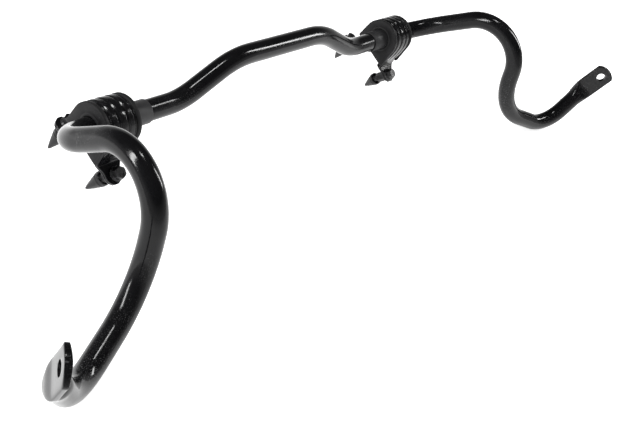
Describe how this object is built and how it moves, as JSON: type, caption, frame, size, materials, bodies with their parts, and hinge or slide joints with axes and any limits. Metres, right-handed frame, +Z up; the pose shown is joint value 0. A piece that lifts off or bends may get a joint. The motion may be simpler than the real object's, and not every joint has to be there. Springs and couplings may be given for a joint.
{
  "type": "sway bar",
  "caption": "Bent tubular sway bar with flattened link eyes at its ends, carried in rubber bushings under ribbed steel straps with bolted, cone-nosed brackets.",
  "frame": {"origin": "middle of the bounding box's base, on the plane the part lies on: the low bends of the arms and the front cone tips touch it", "axes": "+X along the bar from the left arm to the right arm, +Y from the link eyes towards the bushings, +Z up"},
  "size_m": [1.0666, 0.323, 0.159],
  "materials": {
    "bar_paint": "glossy black paint",
    "liner_rubber": "smooth matte rubber",
    "bushing_rubber": "matte black moulded rubber",
    "strap_paint": "glossy black paint on pressed steel",
    "fastener_steel": "dark phosphated steel",
    "cone_coating": "satin dark coating"
  },
  "bodies": {
    "bar": {"bar": "bar_paint"},
    "left_bracket": {"left_liner": "liner_rubber", "left_bushing": "bushing_rubber", "left_strap": "strap_paint", "left_base_plate": "strap_paint", "left_front_bolt": "fastener_steel", "left_front_nut": "fastener_steel", "left_front_cone": "cone_coating", "left_rear_bolt": "fastener_steel", "left_rear_nut": "fastener_steel", "left_rear_cone": "cone_coating"},
    "right_bracket": {"right_liner": "liner_rubber", "right_bushing": "bushing_rubber", "right_strap": "strap_paint", "right_base_plate": "strap_paint", "right_front_bolt": "fastener_steel", "right_front_nut": "fastener_steel", "right_front_cone": "cone_coating", "right_rear_bolt": "fastener_steel", "right_rear_nut": "fastener_steel", "right_rear_cone": "cone_coating"}
  },
  "joints": [
    {"name": "left_bracket_turn", "type": "hinge", "parent": "bar", "child": "left_bracket", "pos_m": [-0.2677, 0.0909, 0.0869], "axis": [1, 0, 0], "range_deg": [-30, 30]},
    {"name": "right_bracket_turn", "type": "hinge", "parent": "bar", "child": "right_bracket", "pos_m": [0.2615, 0.0909, 0.0869], "axis": [1, 0, 0], "range_deg": [-30, 30]}
  ]
}
